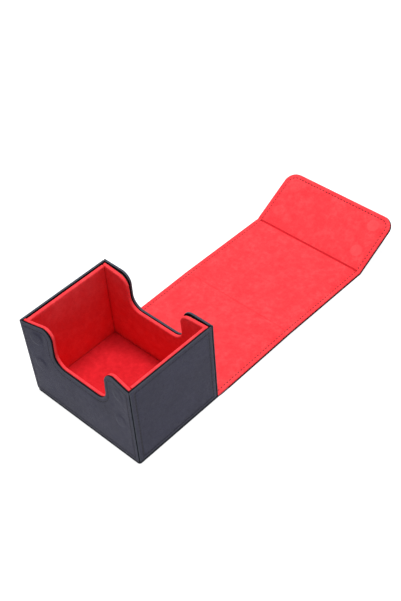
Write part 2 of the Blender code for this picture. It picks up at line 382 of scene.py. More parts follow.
class Shell:
    """Collects points and faces of one piece.

    edge is each point's distance from the piece's edge; the other value says how the nap lies there, and also
    carries painted highlight and painted shade.
    """

    def __init__(self, place, nap_and_painted_light=flat):
        self.place, self.pressed = place, nap_and_painted_light
        self.points, self.faces, self.edge, self.nap_and_painted_light = [], [], [], []

    def point(self, u, v, h, edge=INNER):
        self.points.append(self.place(u, v, h))
        self.edge.append(edge)
        self.nap_and_painted_light.append(self.pressed(u, v))
        return len(self.points) - 1

    def ring(self, outline, h, edge=INNER, relief=flat):
        return [self.point(u, v, h + relief(u, v), edge) for u, v in outline]

    def band(self, a, b, closed=True):
        n = len(a)
        for i in range(n if closed else n - 1):
            j = (i + 1) % n
            self.faces.append((a[i], a[j], b[j], b[i]))

    def bands(self, rows, closed=True):
        for a, b in zip(rows, rows[1:]):
            self.band(a, b, closed)

    def fill(self, ids, outline, extra, h, relief=flat):
        """Triangles over the area inside a closed outline, whose points already exist."""
        coords, count = [Vector(p) for p in (*outline, *extra)], len(outline)
        loop = [(i, (i + 1) % count) for i in range(count)]
        verts, _, faces, origin, _, _ = delaunay_2d_cdt(coords, loop, [], 1, 1e-4)
        known = {}
        for k, source in enumerate(origin):
            ring_ids = [i for i in source if i < count]
            if ring_ids:
                known[k] = ids[ring_ids[0]]
        for face in faces:
            corners = []
            for k in face:
                if k not in known:
                    u, v = verts[k]
                    known[k] = self.point(u, v, h + relief(u, v))
                corners.append(known[k])
            if len(set(corners)) > 2:
                self.faces.append(tuple(corners))

    def make(self, name, material, sharp=40.0):
        mesh = bpy.data.meshes.new(name)
        mesh.from_pydata([tuple(c * MM for c in p) for p in self.points], [], self.faces)
        for label, values in (("edge", self.edge), ("nap_and_painted_light", self.nap_and_painted_light)):
            layer = mesh.attributes.new(label, "FLOAT", "POINT")
            layer.data.foreach_set("value", np.array(values, np.float32))
        work = bmesh.new()
        work.from_mesh(mesh)
        bmesh.ops.remove_doubles(work, verts=work.verts, dist=2e-7)
        bmesh.ops.dissolve_degenerate(work, dist=1e-7, edges=work.edges)
        bmesh.ops.recalc_face_normals(work, faces=work.faces)
        work.to_mesh(mesh)
        work.free()
        mesh.shade_smooth()
        mesh.set_sharp_from_angle(angle=radians(sharp))
        mesh.materials.append(material)
        return add_object(name, mesh)


def settle(piece, body=None, *nodes):
    """Says what a piece moves with, and which CAD nodes it stands for."""
    if body:
        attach(piece, body)
    if nodes:
        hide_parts(*nodes)


def add_seam_shade_lip(shell, low_u, high_u):
    """Leather turned in behind an open seam and painted black as painted shade, so that the seam is dark all
    the way down.
    """
    corners = ((low_u, LIP_LOW), (high_u, LIP_LOW), (high_u, LIP_HIGH), (low_u, LIP_HIGH))
    levels = evenly(WALL_LOW, WALL_TOP - LIP_BELOW_RIM, 12)
    rows = [[shell.point(u, v, h, PAINT_AND_SHADE_EDGE) for u, h in corners] for v in levels]
    shell.bands(rows)
    shell.faces += [tuple(rows[0]), tuple(rows[-1])]


def pocket_points(ring, inset, place):
    """Grid points in a hidden pocket, where the wall leans, so that its floor leans too."""
    if place in (back_place, right_place, right_liner_place, floor_place):
        return []
    outline = ring(inset + 0.6)
    return grid_inside(outline, outline)


def wrapped_panel(
    name, ring, profile, place, material, pocket, extra, relief, lips=(), nap_and_painted_light=flat, hidden=NEAR_SHADE_BELOW
):
    """A board wrapped in leather or cloth. profile is (inset, height) from its back edge to its face.

    pocket is (inset, height) of the hollow that its board lies in, and lips are (u, u) of turned-in strips
    painted black as painted shade.
    What lies lower than hidden is turned in, and painted black as painted shade.
    """
    shell = Shell(place, nap_and_painted_light)
    for lip in lips:
        add_seam_shade_lip(shell, *lip)
    inset, depth = pocket
    hollow = ring(inset)
    rows = [shell.ring(hollow, depth, PAINT_AND_SHADE_EDGE)]
    shell.fill(rows[0], hollow, pocket_points(ring, inset, place), depth)
    rows.append(shell.ring(hollow, 0.0, PAINT_AND_SHADE_EDGE))
    for inset, height in profile:
        lift = relief if inset > 2.0 else flat
        # leather lower than hidden is painted black as painted shade
        rows.append(shell.ring(ring(inset), height, inset if height > hidden else PAINT_AND_SHADE_EDGE, lift))
    shell.bands(rows)
    inset, height = profile[-1]
    inner = ring(inset + 0.6)
    shell.fill(rows[-1], ring(inset), [p for p in extra if inside(p, inner)], height, relief)
    return shell.make(name, material)


# ---- stitches


def point_along(path, at):
    """The point at a distance along an open line."""
    for a, b in zip(path, path[1:]):
        d = hypot(b[0] - a[0], b[1] - a[1])
        if at <= d or b is path[-1]:
            t = at / d if d else 0.0
            return (a[0] + (b[0] - a[0]) * t, a[1] + (b[1] - a[1]) * t)
        at -= d


def length_of(path):
    return sum(hypot(b[0] - a[0], b[1] - a[1]) for a, b in zip(path, path[1:]))


def add_stitch(shell, path, middle, height, long, wide):
    """One stitch: a short bent thread whose ends go down into the seam."""
    total, reach = length_of(path), 0.05
    rows = []
    for t in evenly(-1, 1, 6):
        at = min(max(middle + t * long / 2, 0.001), total - 0.001)
        u, v = point_along(path, at)
        u2, v2 = point_along(path, min(at + reach, total))
        u1, v1 = point_along(path, max(at - reach, 0.0))
        d = hypot(u2 - u1, v2 - v1) or 1.0
        nu, nv = -(v2 - v1) / d, (u2 - u1) / d
        size = wide * (1 - 0.55 * t**4)
        rise = height + wide * (0.35 - 1.3 * t**4)
        section = [(size * cos(a), rise + size * 0.8 * sin(a)) for a in evenly(0, 2 * pi, 6)[:-1]]
        rows.append([shell.point(u + nu * out, v + nv * out, h) for out, h in section])
    shell.bands(rows)
    shell.faces += [tuple(rows[0]), tuple(rows[-1])]


def stitch_row(shell, path, height, long=STITCH_LONG, wide=0.24, keep=None):
    total = length_of(path)
    count = max(1, round(total / PITCH))
    for i in range(count):
        middle = (i + 0.5) * total / count
        if keep is None or keep(*point_along(path, middle)):
            add_stitch(shell, path, middle, height, long, wide)


# ---- materials

SUEDE_DARK = (0.93, 0.044, 0.054)
SUEDE_LIGHT = (0.99, 0.084, 0.094)
SUEDE_SHADED = (0.86, 0.034, 0.048)
SUEDE_FLECK = (0.98, 0.075, 0.082)
# smoothed nap, lightened further as a painted highlight
SUEDE_SMOOTHED_HIGHLIGHT = (0.96, 0.110, 0.118)
# painted shade, for the folds' creases and the tray's floor
SUEDE_DEEP_SHADE = (0.50, 0.008, 0.014)
SUEDE_SOFT_SHADE = (0.68, 0.020, 0.029)
SUEDE_SHEEN = (1.0, 0.25, 0.25)
LEATHER_DARK = (0.034, 0.033, 0.066)
LEATHER_LIGHT = (0.040, 0.039, 0.077)
# the grain's valleys, also used as painted shade in the stitches' groove
LEATHER_VALLEY_AND_GROOVE_SHADE = (0.016, 0.016, 0.028)
# worn rims, lightened further as a painted highlight
LEATHER_WORN_AND_HIGHLIGHT = (0.072, 0.084, 0.102)
# black edge paint, also used as painted shade on turned-in leather, in open seams and beside the lining
LEATHER_PAINT_AND_SHADE = (0.006, 0.007, 0.009)
CHARCOAL_THREAD = ((0.026, 0.024, 0.038), (0.075, 0.070, 0.100))
WINE_THREAD = ((0.045, 0.004, 0.010), (0.110, 0.008, 0.016))
PULP = ((0.33, 0.31, 0.27), (0.50, 0.48, 0.43))
NICKEL = ((0.56, 0.56, 0.58), (0.68, 0.68, 0.70))


class Look:
    """A material and the nodes of its shader. Scales are per metre of the object."""

    def __init__(self, name):
        self.material = bpy.data.materials.new(name)
        self.material.use_nodes = True
        self.nodes = self.material.node_tree.nodes
        self.coords = self.node("TexCoord").outputs["Object"]

    def put(self, sockets, values):
        """Sets sockets to constants, or links them to the outputs of other nodes."""
        for key, value in values.items():
            if isinstance(value, bpy.types.NodeSocket):
                self.material.node_tree.links.new(value, sockets[key])
            else:
                sockets[key].default_value = (*value, 1.0) if isinstance(value, tuple) else value

    def node(self, kind, values=(), **settings):
        node = self.nodes.new(f"ShaderNode{kind}")
        for name, value in settings.items():
            setattr(node, name, value)
        self.put(node.inputs, dict(values))
        return node

    def surface(self, values):
        self.put(self.nodes["Principled BSDF"].inputs, values)
        return self.material

    def noise(self, scale, detail, roughness):
        values = {"Vector": self.coords, "Scale": scale, "Detail": detail, "Roughness": roughness}
        return self.node("TexNoise", values).outputs["Fac"]

    def attribute(self, name):
        return self.node("Attribute", attribute_name=name).outputs["Fac"]

    def ramp(self, value, low, high, to_low=0.0, to_high=1.0):
        """Goes smoothly from to_low to to_high while a value goes from low to high."""
        values = {"Value": value, "From Min": low, "From Max": high, "To Min": to_low, "To Max": to_high}
        return self.node("MapRange", values, interpolation_type="SMOOTHSTEP").outputs["Result"]

    def mix(self, share, a, b):
        """A colour between a and b, which are colours or outputs."""
        node = self.node("Mix", {"Factor": share}, data_type="RGBA")
        self.put([s for s in node.inputs if s.type == "RGBA"], {0: a, 1: b})
        return [s for s in node.outputs if s.type == "RGBA"][0]

    def bump(self, height, strength, distance, normal=None):
        values = {"Height": height, "Strength": strength, "Distance": distance}
        if normal:
            values["Normal"] = normal
        return self.node("Bump", values).outputs["Normal"]


def suede_look():
    """Brushed suede cloth: fine fibres, soft clouds where the nap lies the other way, and pressed marks that
    carry a painted highlight over the flap's magnets and painted shade in the folds and over the tray's
    floor.
    """
    look = Look("red_suede")
    cloud, brushed = look.noise(110.0, 5.0, 0.62), look.noise(240.0, 3.0, 0.7)
    fleck, fibre = look.noise(700.0, 4.0, 0.75), look.noise(3200.0, 2.0, 0.6)
    tone = look.mix(look.ramp(cloud, 0.34, 0.66), SUEDE_DARK, SUEDE_LIGHT)
    tone = look.mix(look.ramp(brushed, 0.36, 0.64, 0.0, 0.7), tone, SUEDE_SHADED)
    tone = look.mix(look.ramp(fleck, 0.30, 0.72, 0.0, 0.6), tone, SUEDE_FLECK)
    tone = look.mix(look.ramp(fibre, 0.58, 0.34, 0.0, 0.45), tone, SUEDE_SHADED)
    nap_and_painted_light = look.attribute("nap_and_painted_light")
    # painted highlight: lighter where the nap is smoothed over the flap's magnets
    tone = look.mix(look.ramp(nap_and_painted_light, 0.0, 1.0), tone, SUEDE_SMOOTHED_HIGHLIGHT)
    # painted shade: darker in the folds' creases, where the nap is also crushed, and over the tray's floor
    painted_shade_tone = look.mix(look.ramp(brushed, 0.1, 0.9), SUEDE_DEEP_SHADE, SUEDE_SOFT_SHADE)
    tone = look.mix(look.ramp(nap_and_painted_light, 0.0, -1.0), tone, painted_shade_tone)
    normal = look.bump(fleck, 0.4, 0.00022, look.bump(fibre, 0.5, 0.00018))
    values = {"Base Color": tone, "Normal": normal, "Roughness": look.ramp(fleck, 0.3, 0.7, 0.86, 0.98)}
    values |= {"Specular IOR Level": 0.06, "Sheen Weight": 0.04, "Sheen Roughness": 0.45}
    return look.surface(values | {"Sheen Tint": SUEDE_SHEEN})


def pebbles_of(look):
    """The fine pebbled grain of pressed leather, its cells bent a little by a noise."""
    swirl = look.node("TexNoise", {"Vector": look.coords, "Scale": 500.0}).outputs["Color"]
    bend = look.node("VectorMath", {0: swirl, "Scale": 0.0007}, operation="SCALE").outputs["Vector"]
    bent = look.node("VectorMath", {0: look.coords, 1: bend}, operation="ADD").outputs["Vector"]
    cells = look.node("TexVoronoi", {"Vector": bent, "Scale": 1150.0}, feature="DISTANCE_TO_EDGE")
    return look.ramp(cells.outputs["Distance"], 0.0, 0.22)


def leather_look():
    """Charcoal leather: pebbled, lightly creased, rubbed lighter on its rims with a painted highlight there,
    with painted shade in its stitches' groove, and dark painted edges that also carry painted shade.
    """
    look = Look("charcoal_leather")
    pebbles, wrinkle, cloud = pebbles_of(look), look.noise(260.0, 4.0, 0.6), look.noise(42.0, 4.0, 0.55)
    tone = look.mix(look.ramp(cloud, 0.34, 0.66), LEATHER_DARK, LEATHER_LIGHT)
    tone = look.mix(look.ramp(pebbles, 0.7, 0.0, 0.0, 0.5), tone, LEATHER_VALLEY_AND_GROOVE_SHADE)
    edge = look.attribute("edge")
    # lighter towards the rims: rubbed wear, and a painted highlight
    tone = look.mix(look.ramp(edge, 1.6, 0.4, 0.0, 0.6), tone, LEATHER_WORN_AND_HIGHLIGHT)
    # painted shade: darker along the stitches' groove, where shade falls
    sewn = look.node("Math", {0: edge, 1: STITCH_IN, 2: 0.45}, operation="COMPARE").outputs["Value"]
    tone = look.mix(look.ramp(sewn, 0.0, 1.0, 0.0, 0.85), tone, LEATHER_VALLEY_AND_GROOVE_SHADE)
    # black: edge paint, and painted shade where the leather is turned in
    painted = look.ramp(edge, 0.1, -0.6)
    tone, shine = look.mix(painted, tone, LEATHER_PAINT_AND_SHADE), look.ramp(painted, 0.0, 1.0, 0.20, 0.03)
    normal = look.bump(wrinkle, 0.15, 0.00022, look.bump(pebbles, 0.55, 0.00014))
    values = {"Base Color": tone, "Normal": normal, "Specular IOR Level": shine}
    return look.surface(values | {"Roughness": look.ramp(wrinkle, 0.3, 0.7, 0.54, 0.62)})


def thread_look(name, colours):
    look = Look(name)
    twist = look.noise(3200.0, 2.0, 0.5)
    tone, normal = look.mix(twist, *colours), look.bump(twist, 0.6, 0.0001)
    return look.surface(
        {"Base Color": tone, "Normal": normal, "Roughness": 0.62, "Specular IOR Level": 0.25}
    )


def board_look():
    look = Look("greyboard")
    pulp = look.noise(900.0, 5.0, 0.65)
    tone, normal = look.mix(pulp, *PULP), look.bump(pulp, 0.4, 0.0001)
    return look.surface({"Base Color": tone, "Normal": normal, "Roughness": 0.9})


def magnet_look():
    look = Look("nickel_plating")
    brushed = look.noise(1500.0, 2.0, 0.5)
    tone, rough = look.mix(brushed, *NICKEL), look.ramp(brushed, 0.3, 0.7, 0.26, 0.40)
    return look.surface({"Base Color": tone, "Roughness": rough, "Metallic": 1.0})


SUEDE, LEATHER = suede_look(), leather_look()
THREAD = thread_look("charcoal_thread", CHARCOAL_THREAD)
LINING_THREAD = thread_look("wine_thread", WINE_THREAD)
BOARD, MAGNET = board_look(), magnet_look()

# ---- the tray

# Cross-sections: (inset from the edge, height above the back), in millimetres, with the stitches' groove
WALL_PROFILE = [(0.70, 0.0), (0.40, 0.06), (0.17, 0.22), (0.04, 0.46), (0.0, 0.75), (0.0, 1.1), (0.05, 1.45)]
WALL_PROFILE += [(0.19, 1.76), (0.42, 1.97), (0.75, 2.08), (1.2, 2.12), (2.0, 2.13), (2.6, 2.11)]
WALL_PROFILE += [(2.95, 2.03), (3.15, 1.93), (3.3, 1.90), (3.45, 1.93), (3.65, 2.02), (4.0, 2.08)]
WALL_PROFILE += [(4.8, 2.10), (6.0, 2.10)]
LINER_PROFILE = [(0.55, 0.0), (0.28, 0.09), (0.10, 0.30), (0.02, 0.62), (0.0, 1.1), (0.03, 1.5), (0.13, 1.88)]
LINER_PROFILE += [(0.33, 2.2), (0.62, 2.44), (1.0, 2.6), (1.5, 2.67), (2.4, 2.70), (4.0, 2.70)]
FLOOR_THICK = FLOOR_HIGH.z - FLOOR_LOW.z
FLOOR_PROFILE = [(0.3, 0.0), (0.05, 0.15), (0.0, 0.5)]  # then down from its top
FLOOR_DROPS = [(0.0, 0.9), (0.06, 0.55), (0.25, 0.25), (0.6, 0.07), (1.1, 0.0), (2.4, 0.0), (4.0, 0.0)]
FLOOR_PROFILE += [(inset, FLOOR_THICK - drop) for inset, drop in FLOOR_DROPS]
STITCH_HEIGHT = 1.92  # above the back of a wall's leather
# Each wall with the places of its outer and its inner panel, and how the walls differ
SIDES = {
    "front": (front_place, front_liner_place),
    "back": (back_place, back_liner_place),
    "right": (right_place, right_liner_place),
    "left": (left_place, left_liner_place),
}
SCOOPED_SIDES, FAR_SIDES = ("front", "back"), ("back", "left")
LEANING_SIDES = ("front", "back", "left")
CORE_THICK, LINER_CORE_THICK = 1.2, 2.0

MAGNET_NODES = [f"wall_magnet_{side}_{row}" for side in ("left", "right") for row in ("upper", "lower")]
WALL_MAGNETS = [tuple(middle_mm(node).xz) for node in MAGNET_NODES]
DISC_TOP, DISC_EDGE = 4.0, 2.2  # the radius of a bump's flat top, and the width that its edge falls over
BUMP_RADII = (2.0, 3.6, 4.4, 4.9, 5.3, 5.8, 6.6, 7.8)
BUMP_CLEAR = 9.0  # no grid points nearer to a magnet's middle than this


def raised(u, v, centres, height):
    """A disc under leather or cloth: a flat top with soft edges, a little lower on the right."""
    total = 0.0
    for x, y in centres:
        shown = height if x < 0 else 0.7 * height
        total += shown * fading(hypot(u - x, v - y), DISC_TOP, DISC_EDGE)
    return total


def waves(scale, amount, seed):
    """A relief of soft, wide waves."""
    return lambda u, v: amount * noise.noise(Vector((u / scale, v / scale, seed)))


def wall_relief(seed, magnets):
    soft = waves(19.0, 0.05, seed)

    def relief(u, v):
        return raised(u, v, magnets, 0.42) + smooth(v, WALL_LOW + 3.0, 6.0) * soft(u, v)

    return relief


def polygon_area(points):
    following = points[1:] + points[:1]
    return abs(sum(ax * by - bx * ay for (ax, ay), (bx, by) in zip(points, following))) / 2


def declare_cut(area=None):
    """Turns the area of a sheet's cut into square metres, where the cut isn't a rectangle; nothing keeps it.
    """
    area = area and area * MM**2


def declare_wrap(ring, thick, drawn=0.0):
    """The cut of a covering that is stretched over its board's face and glued round its edges."""
    outline = ring(0.0)
    (left, low), (right, high) = box_of(outline)
    width, length = right - left + 2 * thick + drawn, high - low + 2 * thick
    area = polygon_area(outline) + length_of(outline + outline[:1]) * thick + drawn * length
    declare_cut(area=min(area, width * length))


def make_wall(side, ring, place, seed):
    """An outer wall's leather and its stitches. The leather of a far wall shows over the lining's rim."""
    magnets = WALL_MAGNETS if side == "front" else ()
    extra = magnet_grid((-TRAY_HALF, WALL_LOW), (TRAY_HALF, WALL_TOP), magnets)
    half, lips, drawn = SIDE_HIGH.y, (), 0.0
    if side not in SCOOPED_SIDES:
        lips = [(sign * (half - LIP_WIDE), sign * (half + LIP_OUT)) for sign in (-1, 1)]
        drawn = DEPTH_HALF - half + LAPPED
    # below this height the wall's rim is painted black as painted shade
    turned, hidden = (FAR_TURNED, FAR_SHADE_BELOW) if side in FAR_SIDES else (SKIN, NEAR_SHADE_BELOW)
    pocket = (turned, WALL_THICK - SKIN)
    name, relief = f"{side}_wall_leather", wall_relief(seed, magnets)
    leather = wrapped_panel(
        name, ring, WALL_PROFILE, place, LEATHER, pocket, extra, relief, lips, hidden=hidden
    )
    declare_wrap(ring, WALL_THICK, drawn)
    settle(leather, "tray", f"{side}_wall_cover")
    threads = Shell(place)
    stitch_row(threads, ring(STITCH_IN) + ring(STITCH_IN)[:1], STITCH_HEIGHT)
    settle(threads.make(f"{side}_wall_stitches", THREAD, 60), "tray")


def make_liner(side, ring, place, seed):
    relief = waves(14.0, 0.10, seed)
    extra = grid_points((-LINER_HIGH.x, WALL_LOW), (LINER_HIGH.x, WALL_TOP), 3.0)
    pocket = (CLOTH, LINER_THICK - CLOTH)
    liner = wrapped_panel(f"{side}_wall_suede", ring, LINER_PROFILE, place, SUEDE, pocket, extra, relief)
    declare_wrap(ring, LINER_THICK)
    settle(liner, "tray", f"{side}_liner_suede")


def leaning_core(name, ring, inset, thick, place):
    """The board of a wall that leans, in the shape that its cover gives it."""
    shell = Shell(place)
    outline = ring(inset)
    extra = grid_inside(outline, ring(inset + 0.8))
    low, high = shell.ring(outline, 0.0), shell.ring(outline, thick)
    shell.fill(low, outline, extra, 0.0)
    shell.band(low, high)
    shell.fill(high, outline, extra, thick)
    settle(shell.make(f"{name}_core", BOARD), "tray", f"{name}_board")


def leaning_magnet(node, u, v):
    """A wall magnet, moved with the board that holds it."""
    copy = add_object(f"{node}_disc", frame["nodes"][node].data.copy())
    copy.data.transform(Matrix.Translation((0.0, front_lean(u, v) * MM, 0.0)))
    copy.data.materials.clear()
    copy.data.materials.append(MAGNET)
    settle(copy, "tray", node)


def make_tray_walls():
    walls, liners = {}, {}
    for side in SIDES:
        top = WALL_TOP - (FAR_STEP if side in FAR_SIDES else NEAR_STEP)
        shape, half, inner, tip = rectangle, SIDE_HIGH.y, SIDE_LINER_HIGH.y, 0.6
        if side in SCOOPED_SIDES:
            shape, half, inner, tip = scooped, TRAY_HALF, LINER_HIGH.x, 0.8
        left_foot = LEFT_FOOT_RADIUS if side == "front" else FOOT_RADIUS
        walls[side] = shape(half, WALL_LOW, WALL_TOP, FOOT_RADIUS, tip, left_foot)
        liners[side] = shape(inner, WALL_LOW, top, 0.3, 0.6)
    for seed, (side, (place, _)) in enumerate(SIDES.items(), 1):
        make_wall(side, walls[side], place, seed)
    for seed, (side, (_, place)) in enumerate(SIDES.items(), 5):
        make_liner(side, liners[side], place, seed)
    for side in LEANING_SIDES:
        inset = FAR_TURNED + 0.1 if side in FAR_SIDES else SKIN + 0.1
        leaning_core(f"{side}_wall", walls[side], inset, CORE_THICK, SIDES[side][0])
    for side in LEANING_SIDES:
        leaning_core(f"{side}_liner", liners[side], CLOTH + 0.1, LINER_CORE_THICK, SIDES[side][1])
    for node, middle in zip(MAGNET_NODES, WALL_MAGNETS):
        leaning_magnet(node, *middle)


def make_tray_floor():
    half, depth = FLOOR_HIGH.x, FLOOR_HIGH.y
    ring = rectangle(half, -depth, depth, 0.5, 0.5)
    pocket = (CLOTH, FLOOR_THICK - CLOTH)
    extra = grid_points((-half, -depth), (half, depth), 3.0)
    relief = waves(15.0, 0.12, 9.0)

    # painted shade: darker over the whole floor, most towards its back left corner
    def nap(u, v):
        return FLOOR_SHADE + FLOOR_SHADE_SPREAD * (u / half - v / depth) / 2

    piece = wrapped_panel(
        "floor_panel_suede", ring, FLOOR_PROFILE, floor_place, SUEDE, pocket, extra, relief, nap_and_painted_light=nap
    )
    declare_wrap(ring, FLOOR_THICK)
    settle(piece, "tray", "floor_suede")


# ---- the cover

SIDE_INSETS = (0.0, 0.04, 0.14, 0.3, 0.6, 1.2, 2.0, 2.7, 3.1, 3.3, 3.5, 3.7, 3.9, 4.3, 4.8, 5.4, 6.0, 7.0)
MIDDLE_STEP = 3.0
PANELS = ("back_cover", "top_cover")
FOLD_PIECES = (
    ("rear_fold", 0, ("tray", "back_cover")),
    ("ridge_fold", 1, ("back_cover", "top_cover")),
    ("flap_fold", 2, ("top_cover", "front_flap")),
)


def across(half):
    """The x positions of every row of points across the cover, the same for all of its pieces."""
    middle = half - SIDE_INSETS[-1]
    count = max(1, ceil(2 * middle / MIDDLE_STEP))
    left = [-half + inset for inset in SIDE_INSETS]
    return left + evenly(-middle, middle, count)[1:-1] + [-x for x in reversed(left)]


def lining_edge(inset):
    """The lining's height above the hinge plane, at a distance from its sewn edge."""
    if inset < 0.6:
        t = 1 - inset / 0.6
        return SEAM_RISE + 0.08 - 0.80 * (1 - (1 - t * t) ** 0.5)
    crown = 0.10 * sin(pi * min(1.0, inset / 3.3))
    groove = 0.22 * max(0.0, 1 - abs(inset - LINING_GROOVE_IN) / 0.55)
    rise = (BOARD_RISE - SEAM_RISE) * smooth(inset, LINING_GROOVE_IN, 3.3)
    return SEAM_RISE + crown - groove + rise


def fold_dip(s):
    """How far the lining drops from its height over the boards, near each fold line."""
    from_ridge, from_crease = abs(s - FOLDS[1]), abs(s - FOLDS[2])
    first = (BOARD_RISE - SEAM_RISE) * fading(s, 0.4, 2.4)
    ridge = 0.16 * max(0.0, 1 - from_ridge / 1.6) ** 1.5 + 0.10 * fading(from_ridge, 1.5, 4.0)
    crease = 0.16 * max(0.0, 1 - from_crease) + 0.08 * fading(from_crease, 0.8, 3.5)
    return first + ridge + crease


def lining_height(inset, s):
    edge = lining_edge(inset)
    share = smooth(inset, 2.9, 2.0)
    return edge - fold_dip(s) * share * min(1.0, max(0.0, (edge - LEATHER_TOP - 0.35)) / 1.2)


def lining_under(inset, s):
    return LEATHER_TOP + 0.02


def flap_magnet(side, row):
    """The middle of one of the flap's magnets: x, and the length along the cover."""
    middle = middle_mm(f"flap_magnet_{side}_{row}")
    return (middle.x, FOLDS[2] + (middle.yz - PIVOTS[2]).length)


FLAP_MAGNETS = [flap_magnet(side, row) for row in ("inner", "outer") for side in ("left", "right")]


def flap_relief(u, s):
    soft = waves(16.0, 0.10, 11.0)
    return raised(u, s, FLAP_MAGNETS, 0.13) + smooth(s, FLAP_START, 5.0) * soft(u, s)


def lining_nap_and_painted_light(u, s):
    """The nap: smoothed over the flap's magnets, with a painted highlight, and crushed along the folds, with
    painted shade there.
    """
    reach = min(hypot(u - x, s - y) for x, y in FLAP_MAGNETS)
    # painted highlight over the magnets, stronger on the right
    disc = (0.26 if u < 0 else 0.42) * fading(reach, 4.5, 1.4)
    sewn = smooth(LINING_HALF - abs(u), 2.6, 1.2)
    # painted shade: darker along the flap's fold and the ridge
    crease = 0.85 * fading(abs(s - FOLDS[2]), 0.90, 0.65)
    ridge = 0.32 * fading(abs(s - FOLDS[1]), 0.3, 0.8)
    return disc - sewn * max(crease, ridge)


def leather_top(inset, s):
    return LEATHER_TOP if inset > 0.1 else LEATHER_TOP - 0.12


def leather_under(inset, s):
    """The outer face of the cover's leather: pulled in outside its stitches and between the boards."""
    sewn = 0.18 * fading(inset, 3.9, 2.0)
    groove = 0.14 * max(0.0, 1 - abs(inset - COVER_STITCH_IN) / 0.6)
    channel = max(0.22 * fading(abs(s - fold), 2.0, 2.5) for fold in FOLDS)
    return LEATHER_UNDER + max(sewn, channel) + groove + (0.12 if inset < 0.1 else 0.0)


def rows_between(low, high, step, extra=()):
    rows = evenly(low, high, max(1, ceil((high - low) / step)))
    rows += [s for s in extra if low < s < high]
    return sorted(set(round(s, 5) for s in rows))


def rim_value(inset, painted=0.01):
    """The cut edge itself is painted black, and on the cover's inner side a strip along it, which is also
    painted shade under the lining's edge.
    """
    return inset if inset > painted else PAINT_AND_SHADE_EDGE


def slab(name, xs, rows, top, bottom, material, place, nap_and_painted_light):
    """A closed sheet on the cover's grid. top and bottom give heights at (inset, s)."""
    shell = Shell(place, nap_and_painted_light)
    insets = [xs[-1] - abs(x) for x in xs]
    upper, lower = [], []
    for s in rows:
        # the upper face's strip beside the lining is painted black: edge paint and painted shade
        upper.append([shell.point(x, s, top(i, s), rim_value(i, PAINT_AND_SHADE_STRIP)) for x, i in zip(xs, insets)])
        lower.append([shell.point(x, s, bottom(i, s), rim_value(i)) for x, i in zip(xs, insets)])
    shell.bands(upper, closed=False)
    shell.bands(lower, closed=False)
    for end in (0, -1):
        shell.band([row[end] for row in upper], [row[end] for row in lower], closed=False)
        shell.band(upper[end], lower[end], closed=False)
    return shell.make(name, material)


def flap_ring(half, end, radius):
    """The open outline of the flap: up its right side, round its far corners, and down its left side."""

    def ring(inset):
        kept = max(radius - inset, 0.4)
        move = radius - inset - kept
        right, top = half - inset, end - inset
        cx, cy = half - radius + move, end - radius + move
        straight = max(2, ceil((end - radius - FLAP_START) / 2.0))
        points = [(right, s) for s in evenly(FLAP_START, cy, straight)[:-1]]
        points += arc(cx, cy, kept, 0.0, pi / 2, 14)
        points += [(x, top) for x in evenly(cx, -cx, ceil(half - radius))[1:-1]]
        points += arc(-cx, cy, kept, pi / 2, pi, 14)
        return points + [(-right, s) for s in evenly(cy, FLAP_START, straight)[1:]]

    return ring


def flap_layer(shell, ring, half, height, extra, relief=flat, paint=0.01):
    """One face of the flap. Returns its outermost line and its points along the strip."""
    lines = []
    for inset in SIDE_INSETS:
        lift, edge = relief if inset > 3.8 else flat, rim_value(inset, paint)
        lines.append([shell.point(u, s, height(inset, s) + lift(u, s), edge) for u, s in ring(inset)])
    shell.bands(lines, closed=False)
    last, first = SIDE_INSETS[-1], len(SIDE_INSETS)
    base = across(half)[first:-first]
    bottom_ids = [shell.point(x, FLAP_START, height(last, FLAP_START)) for x in base]
    loop = ring(last) + [(x, FLAP_START) for x in base]
    shrunk = ring(last + 0.7)
    kept = [p for p in extra if inside(p, shrunk) and p[1] > FLAP_START + 0.6]
    shell.fill(lines[-1] + bottom_ids, loop, kept, height(last, FLAP_START + 9.0), relief)
    return lines[0], [line[-1] for line in lines] + bottom_ids + [line[0] for line in reversed(lines)]


def make_flap(name, half, short, top, bottom, material, place, relief, extra, nap_and_painted_light):
    """The flap's lining or leather, with its cut area worked out. short is how far it ends before the cover
    does.
    """
    shell = Shell(place, nap_and_painted_light)
    end, radius = COVER_END - short, FLAP_RADIUS - short
    ring = flap_ring(half, end, radius)
    # the upper face's strip beside the lining is painted black: edge paint and painted shade
    outer_top, near_top = flap_layer(shell, ring, half, top, extra, relief, PAINT_AND_SHADE_STRIP)
    outer_low, near_low = flap_layer(shell, ring, half, bottom, ())
    shell.band(outer_top, outer_low, closed=False)
    shell.band(near_top, near_low, closed=False)
    piece = shell.make(name, material)
    length = end - FLAP_START
    area = 2 * half * length - 2 * (1 - pi / 4) * radius**2
    declare_cut(area=area)
    return piece


def blend_at(piece, fold, height):
    ends = (FOLDS[fold] - ZONES[fold], FOLDS[fold] + ZONES[fold])
    start, end = (Vector(cover_place(0.0, s, height)) * MM for s in ends)
    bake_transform(piece)


def fold_rows(fold):
    low, high = FOLDS[fold] - STRIPS[fold], FOLDS[fold] + STRIPS[fold]
    near = [FOLDS[fold] + d for d in (-3, -2.4, -1.9, -1.5, -1.1, -0.75, -0.5, -0.25, 0.0)]
    near += [2 * FOLDS[fold] - s for s in near]
    rows = rows_between(low, high, 0.75, near)
    return rows if fold else [TUCK] + [s for s in rows if s > TUCK + 0.05]


